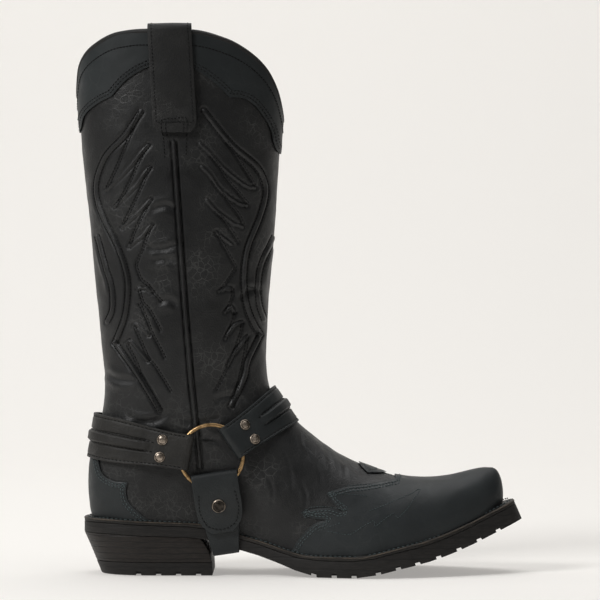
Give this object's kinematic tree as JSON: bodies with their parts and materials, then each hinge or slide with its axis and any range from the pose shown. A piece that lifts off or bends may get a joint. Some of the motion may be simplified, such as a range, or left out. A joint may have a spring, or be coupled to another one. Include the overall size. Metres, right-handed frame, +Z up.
{
  "type": "harness boot",
  "caption": "Tall pull-on western harness boot with a scalloped collar, ankle straps on metal rings, a stacked heel and a lugged sole.",
  "frame": {"origin": "middle of the bounding box's bottom, on the floor", "axes": "+X to the toe, +Y to the inner side of the foot, +Z up"},
  "size_m": [0.311, 0.1058, 0.3789],
  "materials": {
    "upper_leather": "black oiled leather, softly creased, low gloss",
    "overlay_leather": "smooth black leather with a cool tone",
    "strap_leather": "waxed black strap leather with a raised middle",
    "insole_leather": "natural insole leather",
    "welt": "dark welt with a pale worn edge line",
    "sole_rubber": "matte black rubber",
    "heel_leather": "stacked leather, dyed and burnished",
    "brass": "satin antique brass",
    "rivet_metal": "antique pewter-bronze",
    "stud_metal": "dark cap in a pewter rim"
  },
  "bodies": {
    "boot": {"upper": "upper_leather", "collar_cuff": "overlay_leather", "toe_wing": "overlay_leather", "heel_counter": "overlay_leather", "pull_strap_outer": "overlay_leather", "pull_strap_inner": "overlay_leather", "side_piping_outer": "upper_leather", "side_piping_inner": "upper_leather", "insole": "insole_leather", "welt": "welt", "outsole": "sole_rubber", "heel_stack": "heel_leather", "heel_cap": "sole_rubber", "back_strap": "strap_leather", "front_strap": "strap_leather", "under_strap": "strap_leather", "back_rivet_outer_upper": "rivet_metal", "back_rivet_outer_lower": "rivet_metal", "back_rivet_inner_upper": "rivet_metal", "back_rivet_inner_lower": "rivet_metal", "front_rivet_outer_upper": "rivet_metal", "front_rivet_outer_lower": "rivet_metal", "front_rivet_inner_upper": "rivet_metal", "front_rivet_inner_lower": "rivet_metal", "stud_outer": "stud_metal", "stud_inner": "stud_metal"},
    "outer_ring": {"ring_outer": "brass"},
    "inner_ring": {"ring_inner": "brass"}
  },
  "joints": [
    {"name": "outer_ring_turn", "type": "hinge", "parent": "boot", "child": "outer_ring", "pos_m": [-0.06011, -0.03922, 0.0825], "axis": [0, 1, 0], "continuous": true},
    {"name": "inner_ring_turn", "type": "hinge", "parent": "boot", "child": "inner_ring", "pos_m": [-0.06011, 0.03922, 0.0825], "axis": [0, 1, 0], "continuous": true}
  ]
}
